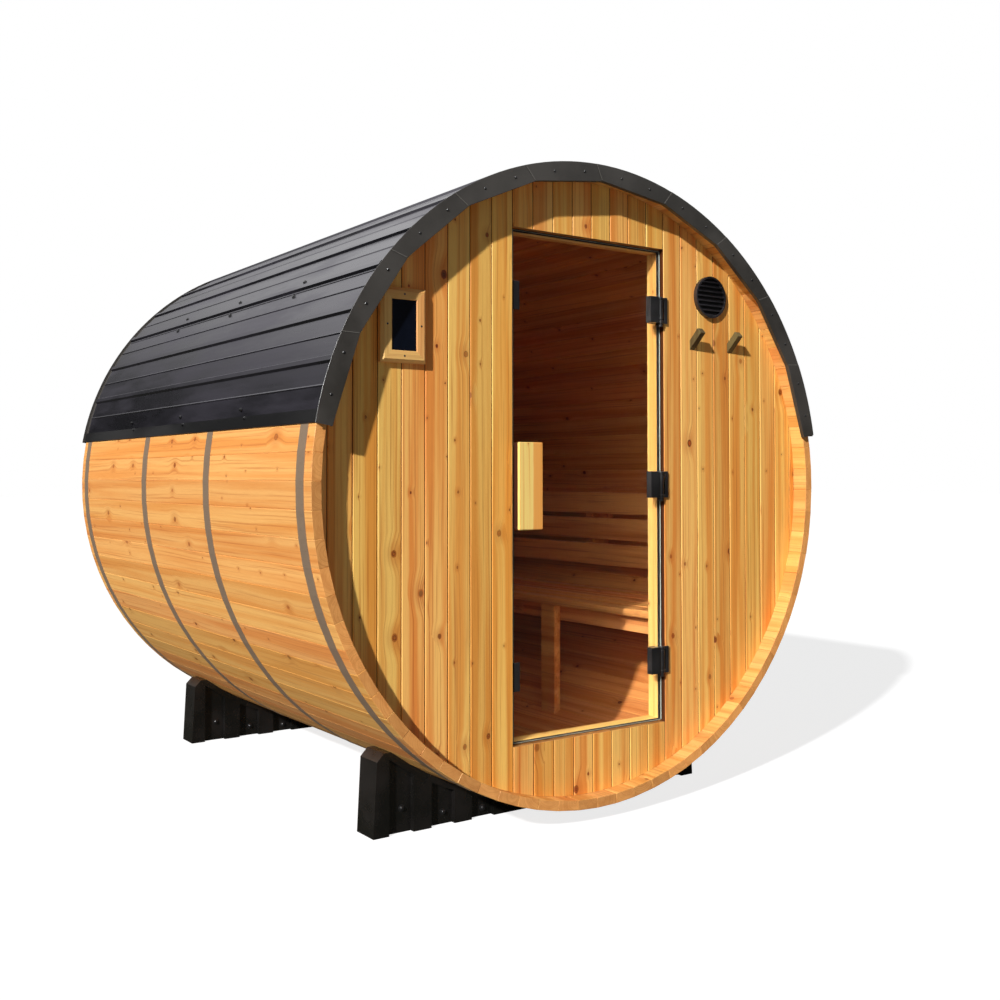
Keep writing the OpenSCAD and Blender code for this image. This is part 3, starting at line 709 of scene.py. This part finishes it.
def wall_board(shell, left, right, front, back, bottom, top, inward=1):
    """One tongue-and-groove board: a closed outline across it, with a vee on both faces at both edges and the
    joint touching in the middle of its thickness, carried from bottom(x) to top(x). Its inner side is the one
    that faces inward, 1 for the rear side and -1 for the front."""
    vee, gap, deep = 2.2 * MM, 1.1 * MM, 5 * MM
    steps = 6
    face = np.linspace(left + gap + vee, right - gap - vee, steps)
    front_face = [(x, front) for x in face]
    right_side = [(right - gap, front + vee), (right - gap, front + vee + deep), (right, front + vee + deep),
                  (right, back - vee - deep), (right - gap, back - vee - deep), (right - gap, back - vee)]
    back_face = [(x, back) for x in face[::-1]]
    left_side = [(left + right - x, y) for x, y in reversed(right_side)]
    outline = np.array(front_face + right_side + back_face + left_side)
    x, y = outline.T
    sections = np.stack([np.stack([x, y, bottom(x)], -1), np.stack([x, y, top(x)], -1)])
    points, faces = loft(sections)
    grain = np.stack([points[:, 2], points[:, 0] - (left + right) / 2, points[:, 1] - front], -1)
    sides, ends = faces
    side = np.arange(len(sides))
    indoors = (side < steps) | (side == len(sides) - 1)
    if inward > 0:
        indoors = (side >= steps + 5) & (side <= 2 * steps + 5)
    # The vee flanks and gap sides take the joint finish: dark brown painted shade in the grooves.
    joint = ((side >= steps) & (side < steps + 5)) | ((side >= 2 * steps + 6) & (side < len(sides) - 1))
    outdoors = ~(indoors | joint)
    parts = [sides[outdoors], ends, sides[indoors & ~joint], sides[joint]]
    shell.add(points, parts, grain, rng.random(), [0, 1, 2, 3])


def arc_height(x):
    """Height above or below the axis of the barrel's inside at x."""
    reach = INNER_R - 0.3 * MM
    return np.sqrt(np.maximum(reach**2 - np.asarray(x) ** 2, 0))


def arc_top(x):
    """Height of the barrel's inside over x."""
    return AXIS_Z + arc_height(x)


def arc_bottom(x):
    """Height of the barrel's inside under x."""
    return AXIS_Z - arc_height(x)


def level(height):
    """A bottom or top line at one height."""
    return lambda x: np.full(np.shape(x), height)


def board_edges():
    """Left and right edge of each board across the barrel, in step with the doorway's edges."""
    reach = INNER_R - 0.4 * MM
    count = math.ceil((reach + DOOR_LEFT) / BOARD_PITCH)
    joints = DOOR_LEFT + BOARD_PITCH * np.arange(-count, 2 * count + 8)
    joints = np.unique(np.clip(joints, -reach, reach))
    return list(zip(joints[:-1], joints[1:]))


def end_walls():
    """The front wall, cut round the doorway, and the rear wall."""
    front, rear = Shell(), Shell()
    for left, right in board_edges():
        middle = (left + right) / 2
        wall_board(rear, left, right, rear_low.y, rear_high.y, arc_bottom, arc_top, -1)
        if DOOR_LEFT < middle < DOOR_RIGHT:
            wall_board(front, left, right, WALL_Y, WALL_Y + WALL_T, level(DOOR_HIGH), arc_top)
            wall_board(front, left, right, WALL_Y, WALL_Y + WALL_T, arc_bottom, level(DOOR_LOW))
        else:
            wall_board(front, left, right, WALL_Y, WALL_Y + WALL_T, arc_bottom, arc_top)
    finishes = [FINISH["wall"], FINISH["wall_end"], FINISH["inside"], FINISH["joint"]]
    nodes = ("front_wall_left", "front_wall_right", "front_wall_over_door", "front_wall_under_door")
    build("front_wall_boards", front, finishes, "root", nodes)
    build("rear_wall_boards", rear, finishes, "root", ("rear_wall",))


end_walls()

# ---------------- doorway and door


def one_plank(name, node, axis, finish):
    """A piece made of one board that fills a CAD node's box."""
    low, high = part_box(node)
    shell = Shell()
    points, faces, grain = plank(low, high, axis, 1.5 * MM)
    shell.add(points, faces, grain, rng.random())
    build(name, shell, [finish], "root", (node,))


for side in ("left", "right"):
    one_plank(f"lining_{side}", f"door_lining_{side}", 2, FINISH["lining"])
for end in ("head", "sill"):
    one_plank(f"lining_{end}", f"door_lining_{end}", 0, FINISH["lining"])
eased_copy("seal_strip", "door_seal", FINISH["rubber"], 0.8 * MM)


def door_leaf():
    """The glass leaf: a slab with ground edges; its large faces are clear and its edges are polished."""
    shell = Shell()
    points, faces, grain = plank(glass_low, glass_high, 2, 2.6 * MM)
    shell.add(points, faces, grain)
    finishes = [FINISH["glass"], FINISH["glass_edge"]]
    leaf = build("glass_leaf", shell, finishes, "door", ("door_glass",))
    normals = np.zeros(len(leaf.data.polygons) * 3)
    leaf.data.polygons.foreach_get("normal", normals)
    on_edge = np.abs(normals.reshape(-1, 3)[:, 1]) < 0.9
    leaf.data.polygons.foreach_set("material_index", on_edge.astype(np.int32))


def handle(name, node):
    """A handle: the upright board and the darker, narrower spacer between it and the glass."""
    low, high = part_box(node)
    outside = low.y < glass_low.y
    board_t, spacer_w, spacer_inset = 12 * MM, 30 * MM, 6 * MM
    board_look, spacer_look = 0.31, 0.58
    left = low.x + spacer_inset
    split = low.y + board_t if outside else high.y - board_t
    board = (low.y, split) if outside else (split, high.y)
    spacer = (split, high.y) if outside else (low.y, split)
    shell = Shell()
    points, faces, grain = plank((low.x, board[0], low.z), (high.x, board[1], high.z), 2, 2.5 * MM)
    shell.add(points, faces, grain, board_look)
    points, faces, grain = plank(
        (left, spacer[0], low.z + 1 * MM), (left + spacer_w, spacer[1], high.z - 1 * MM), 2)
    shell.add(points, faces, grain, spacer_look, 1)
    build(name, shell, [FINISH["handle"], FINISH["spacer"]], "door", (node,))


door_leaf()
handle("outer_handle", "door_handle_outer")
handle("inner_handle", "door_handle_inner")
eased_copy("catch_plates", "door_catch_plates", FINISH["black"], 0.8 * MM, "door")
eased_copy("hinge_leaf_halves", "hinge_clamps", FINISH["black"], 1.2 * MM, "door")
eased_copy("hinge_wall_halves", "hinge_brackets", FINISH["black"], 1.0 * MM, "root")

# ---------------- fittings on the front wall

eased_copy("vent_cover", "vent_grille", FINISH["vent"], 0.8 * MM)
eased_copy("pegs", "wall_hooks", FINISH["hook"], 1.5 * MM, grain_axes=(2, 0, 1))


def display():
    """The display's wooden frame: four mitred rails. Each is a section from its outer to its inner edge,
    whose points run along the rail as far as the mitre lets them; the dark glass lies behind."""
    low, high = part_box("display_frame")
    centre_x, centre_z = (low.x + high.x) / 2, (low.z + high.z) / 2
    half_w, half_h = (high.x - low.x) / 2, (high.z - low.z) / 2
    rail, depth, slope = 35 * MM, high.y - low.y, 9 * MM
    inset = np.array([0, 0, slope, slope + 1 * MM, rail - 2 * MM, rail, rail])
    out = np.array([0, depth - slope, depth - 0.6 * MM, depth, depth, depth - 2 * MM, 0])
    shell = Shell()
    for across, sign in ((0, -1), (0, 1), (1, -1), (1, 1)):
        reach = (half_h if across == 0 else half_w) - inset
        offset = sign * ((half_w if across == 0 else half_h) - inset)
        ends = np.stack([-reach, reach])
        y = np.broadcast_to(high.y - out, ends.shape)
        offset = np.broadcast_to(offset, ends.shape)
        x, z = (offset, ends) if across == 0 else (ends, offset)
        points, faces = loft(np.stack([centre_x + x, y, centre_z + z], -1))
        grain = np.stack([ends, offset, y - high.y], -1)
        shell.add(points, faces, grain, rng.random())
    screws = Shell()
    for dx, dz in ((0, 1), (0, -1), (1, 0), (-1, 0)):
        place = (centre_x + dx * (half_w - 0.55 * rail), low.y, centre_z + dz * (half_h - 0.55 * rail))
        profile = np.array([(0, -1), (3.2, -1), (3.2, 0.1), (2.4, 0.5), (0, 0.2)]) * MM
        screws.add(*lathe(profile, place, (0, -1, 0), 16))
    build("display_rails", shell, [FINISH["frame"]], "root", ("display_frame",))
    build("display_screws", screws, [FINISH["screw"]], "root")
    eased_copy("display_pane", "display_glass", FINISH["display"], 0.6 * MM)


display()

# ---------------- roof


def hex_screw(shell, place, direction, size=5.5 * MM):
    """A hexagon head on a round washer, pushed out along direction."""
    heights = np.array([-0.5, -0.5, 0.6, 1.4, 1.4]) * MM
    washer = np.stack([np.array([0, 1.45, 1.45, 1.1, 0]) * size, heights], -1)
    heights = np.array([1, 1, 4.2, 5.2, 5.2]) * MM
    head = np.stack([np.array([0, 1, 1, 0.75, 0]) * size, heights], -1)
    shell.add(*lathe(washer, place, direction, 16))
    shell.add(*lathe(head, place, direction, 6))


def roof_screws():
    """Rows of screws beside the lap joints and in pairs along both eaves."""
    shell = Shell()
    rows = FRONT_Y + np.array([525, 1055, 1590]) * MM
    eave_pairs = ((166.6, 545), (168.2, 500))
    eave_rows = np.array([0, 540, 1080])
    eave_lift, eave_size = 1.5 * MM, 4.5 * MM
    beside = 1.75 / 180 * math.pi
    lap = TAU / 4 + LAP_RIB * RIB_PITCH
    turns = [lap - beside, lap + beside]
    for left in (True, False):
        for turn in turns:
            angle = turn if left else math.pi - turn
            for y in rows:
                direction = on_barrel(1, angle, 0) - on_barrel(0, 0, 0)
                hex_screw(shell, on_barrel(SHEET_R + SHEET_T, angle, y), direction)
        for turn, start in eave_pairs:
            angle = math.radians(turn if left else 180 - turn)
            for y in FRONT_Y + (start + eave_rows) * MM:
                direction = on_barrel(1, angle, 0) - on_barrel(0, 0, 0)
                hex_screw(shell, on_barrel(SHEET_R + SHEET_T + eave_lift, angle, y), direction, eave_size)
    build("roof_screws", shell, [FINISH["screw"]], "root")


recoat(("roof_left_lower", "roof_left_upper", "roof_right_upper", "roof_right_lower"), FINISH["roof"])
recoat(("eave_trim_left", "eave_trim_right"), FINISH["eave"])


def trim_turns():
    """Turns of the joints between the straight lengths that an end band is made of."""
    return np.linspace(ROOF_END, TAU / 2 - ROOF_END, TRIM_STEPS + 1)


def band_length(shell, start, end, lean, face_y, back, lip_y):
    """One length of an end band. Its folded section runs from the lip, round the inner edge and over the
    face to the eased outer edge. The section is carried by turn: straight inside and round outside, its
    ends leaning by lean, and it rises from under one neighbour to over the other."""
    inner_r = TRIM_R - TRIM_W
    bend, edge, lift, lap = 1.2 * MM, 0.5 * MM, 0.9 * MM, math.radians(0.35)
    inner = np.array([TRIM_T, 0, 0, bend])
    inner_deep = np.array([lip_y, lip_y, bend, 0])
    outer = np.array([edge, 0, 0, edge])
    outer_deep = np.array([0, edge, TRIM_T - 0.1 * MM, TRIM_T])
    turn = np.linspace(start, end + lap, 9)[:, None]
    share = (turn - start) / (end + lap - start)
    middle, half = (start + end) / 2, (end - start) / 2
    chord = inner_r * math.cos(half) / np.cos(np.clip(turn - middle, -half, half))
    radius = np.concatenate([chord + inner, TRIM_R - outer + 0 * turn, chord + TRIM_T], 1)
    deep = np.append(np.concatenate([inner_deep, outer_deep]), TRIM_T)[None]
    rise = lift * (1 - share) * (deep < 2 * TRIM_T)
    out = np.clip((radius - inner_r) / TRIM_W, 0, 1)
    leaning = lean[0] * (1 - share) + lean[1] * share
    shell.add(*loft(on_barrel(radius, turn + leaning * out, face_y + back * (deep + rise))))
    # Painted highlight: a thin light strip across the lap end of each length, where its edge catches the
    # light.
    if end < TAU / 2 - ROOF_END - 0.01:
        highlight_r = np.array([[inner_r + 3 * MM], [TRIM_R - 2 * MM]])
        lap_highlight = end + lap + lean[1] * (highlight_r - inner_r) / TRIM_W - np.array([0, 2.2, 2.2, 0]) * MM / highlight_r
        highlight_y = face_y + back * np.array([0.4, 0.4, -0.15, -0.15]) * MM
        shell.add(*loft(on_barrel(highlight_r, lap_highlight, highlight_y)), finish=1)


def end_band(end, back):
    """The trim at one end of the roof: its lengths, its flange on the staves and its screws."""
    low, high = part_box(f"{end}_trim")
    face_y = low.y if back > 0 else high.y
    band, screws = Shell(), Shell()
    turns = trim_turns()
    between_ends = np.append(np.append(0, np.ones(len(turns) - 2)), 0)
    lean = math.radians(1.3) * np.sign(turns - TAU / 4 + 0.001) * between_ends
    for k, (start, stop) in enumerate(zip(turns[:-1], turns[1:])):
        band_length(band, start, stop, lean[k:k + 2], face_y, back, 15 * MM)
        for share in (0.28, 0.72):
            turn = start + (stop - start) * share
            place = on_barrel(TRIM_R - 0.56 * TRIM_W, turn, face_y + back * 0.6 * MM)
            pan = np.array([(0, -0.5), (4.4, -0.5), (4.4, 0.8), (3.2, 2.0), (0, 2.3)]) * MM
            screws.add(*lathe(pan, place, (0, -back, 0), 14))
    turn = np.linspace(ROOF_END + 0.02, TAU / 2 - ROOF_END - 0.02, 121)[:, None]
    facet = np.cos(STAVE_STEP / 2) / np.cos((turn - JOINT_TURN) % STAVE_STEP - STAVE_STEP / 2)
    flange_r = BARREL_R / np.cos(STAVE_STEP / 2) * facet + np.array([0.1, 0.1, 1.2, 1.2]) * MM
    flange_y = face_y + back * np.array([0.5 * MM, high.y - low.y, high.y - low.y, 0.5 * MM])
    band.add(*loft(on_barrel(flange_r, turn, flange_y)))
    build(f"{end}_band", band, [FINISH["trim"], FINISH["lap_highlight"]], "root", (f"{end}_trim",))
    build(f"{end}_band_screws", screws, [FINISH["screw"]], "root")


end_band("front", 1)
end_band("rear", -1)
roof_screws()

# ---------------- straps, cradles and bench

recoat(("strap_front", "strap_middle_front", "strap_middle_rear", "strap_rear"), FINISH["strap"])
for end in ("front", "rear"):
    eased_copy(f"{end}_cradle", f"cradle_{end}", FINISH["cradle"], 4 * MM)


def cradle_bolts():
    """A domed bolt head on the floor of each pocket of the cradles, lower towards the middle."""
    shell = Shell()
    pocket_deep, first, pitch = 19 * MM, 110 * MM, 154 * MM
    heights = (75 * MM, 38 * MM, 26 * MM)
    dome = np.array([(0, -1), (12, -1), (12, 1.5), (8, 2.5), (7.5, 6), (5, 8), (0, 8.6)]) * MM
    for end in ("front", "rear"):
        low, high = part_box(f"cradle_{end}")
        reach = (high.x - low.x) / 2
        for k, height in enumerate(heights):
            across = reach - first - k * pitch
            for x in (-across, across):
                for y, out in ((low.y + pocket_deep, -1), (high.y - pocket_deep, 1)):
                    shell.add(*lathe(dome, (x, y, height), (0, out, 0), 16))
    build("cradle_bolts", shell, [FINISH["black"]], "root")


cradle_bolts()


def bench():
    """Seat boards, the frame under them and the backrest boards on their battens."""
    seat_low, seat_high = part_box("bench_seat")
    count, gap = 5, 10 * MM
    width = (seat_high.x - seat_low.x - (count - 1) * gap) / count
    seat = Shell()
    for k in range(count):
        left = seat_low.x + k * (width + gap)
        low, high = (left, seat_low.y, seat_low.z), (left + width, seat_high.y, seat_high.z)
        points, faces, grain = plank(low, high, 1, 4 * MM)
        seat.add(points, faces, grain, rng.random())
    build("seat_boards", seat, [FINISH["bench"]], "root", ("bench_seat",))
    eased_copy("seat_frame", "bench_frame", FINISH["bench"], 2 * MM)
    eased_copy("seat_legs", "bench_legs", FINISH["bench"], 2 * MM)
    eased_copy("backrest_boards", "bench_backrest", FINISH["bench"], 3 * MM)


bench()

# ---------------- floor, light and camera


def straight_through(n, path):
    """1 for a ray that has come from the camera through glass and nothing else."""
    turned = n.math("ADD", path["Diffuse Depth"], path["Glossy Depth"])
    return n.math("MULTIPLY", path["Is Transmission Ray"], n.math("LESS_THAN", turned, 0.5))


def studio_floor():
    """A plain pale floor that stays white to the camera and keeps the shadow."""
    material, n, shader = new_material("studio_floor")
    shader.inputs["Roughness"].default_value = 0.9
    shader.inputs["Specular IOR Level"].default_value = 0.0
    path = n.add("ShaderNodeLightPath").outputs
    pale, dim = (0.32, 0.32, 0.32, 1), (0.06, 0.06, 0.05, 1)
    n.feed(shader.inputs["Base Color"], n.mix(path["Is Glossy Ray"], pale, dim))
    seen = n.math("MAXIMUM", path["Is Camera Ray"], straight_through(n, path))
    n.feed(shader.inputs["Emission Color"], (1, 1, 1, 1))
    glow, size = 0.8, 60.0
    n.feed(shader.inputs["Emission Strength"], n.math("MULTIPLY", seen, glow))
    mesh = bpy.data.meshes.new("studio_floor")
    corners = [(-size, -size, 0), (size, -size, 0), (size, size, 0), (-size, size, 0)]
    mesh.from_pydata(corners, [], [(0, 1, 2, 3)])
    mesh.materials.append(material)
    floor = bpy.data.objects.new("studio_floor", mesh)
    scene.collection.objects.link(floor)


def studio_light():
    """A white room and one lamp high on the left. To the camera and through glass the room is full white. Its
    light is weaker, and polished things mirror it bright overhead and dark at eye level."""
    world = bpy.data.worlds.new("studio_room")
    world.use_nodes = True
    world.node_tree.nodes.clear()
    n = Nodes(world.node_tree)
    path = n.add("ShaderNodeLightPath").outputs
    height = n.split(n.add("ShaderNodeTexCoord").outputs["Generated"])[2]
    weak = 0.09
    mirrored = n.between(height, 0.22, 0.56, 0.02, 1.35)
    plain = n.math("MULTIPLY_ADD", path["Is Glossy Ray"], n.math("SUBTRACT", mirrored, weak), weak)
    seen = n.math("MAXIMUM", path["Is Camera Ray"], straight_through(n, path))
    strength = n.math("MAXIMUM", plain, seen)
    room = n.add("ShaderNodeBackground", {"Color": (1, 1, 1, 1), "Strength": strength})
    output = n.add("ShaderNodeOutputWorld", {"Surface": room.outputs[0]})
    scene.world = world
    lamp = bpy.data.lights.new("key_lamp", "SUN")
    lamp.angle = math.radians(1.6)
    lamp.energy = 4.7
    travel = Vector((1.9, 1.0, -1.1)).normalized()
    key = bpy.data.objects.new("key_lamp", lamp)
    key.location = Vector((0, 0, AXIS_Z)) - travel * 8.0
    key.rotation_mode = "QUATERNION"
    key.rotation_quaternion = travel.to_track_quat("-Z", "Y")
    scene.collection.objects.link(key)


def studio_camera():
    """The camera, low and to the left of the door."""
    lens = bpy.data.cameras.new("camera")
    lens.lens = 41.24
    lens.sensor_width = 36
    lens.shift_y = -0.05
    lens.clip_end = 200
    yaw, pitch, roll = math.radians(35.24), math.radians(1.3), math.radians(-0.06)
    forward = Vector((math.sin(yaw) * math.cos(pitch), math.cos(yaw) * math.cos(pitch), math.sin(pitch)))
    camera = bpy.data.objects.new("camera", lens)
    camera.location = (-2.407, FRONT_Y - 2.838, AXIS_Z + 0.033)
    camera.rotation_mode = "QUATERNION"
    camera.rotation_quaternion = forward.to_track_quat("-Z", "Y") @ Quaternion((0, 0, 1), roll)
    scene.collection.objects.link(camera)
    scene.camera = camera


studio_floor()
studio_light()
studio_camera()
bpy.context.scene.view_settings.view_transform = "Standard"
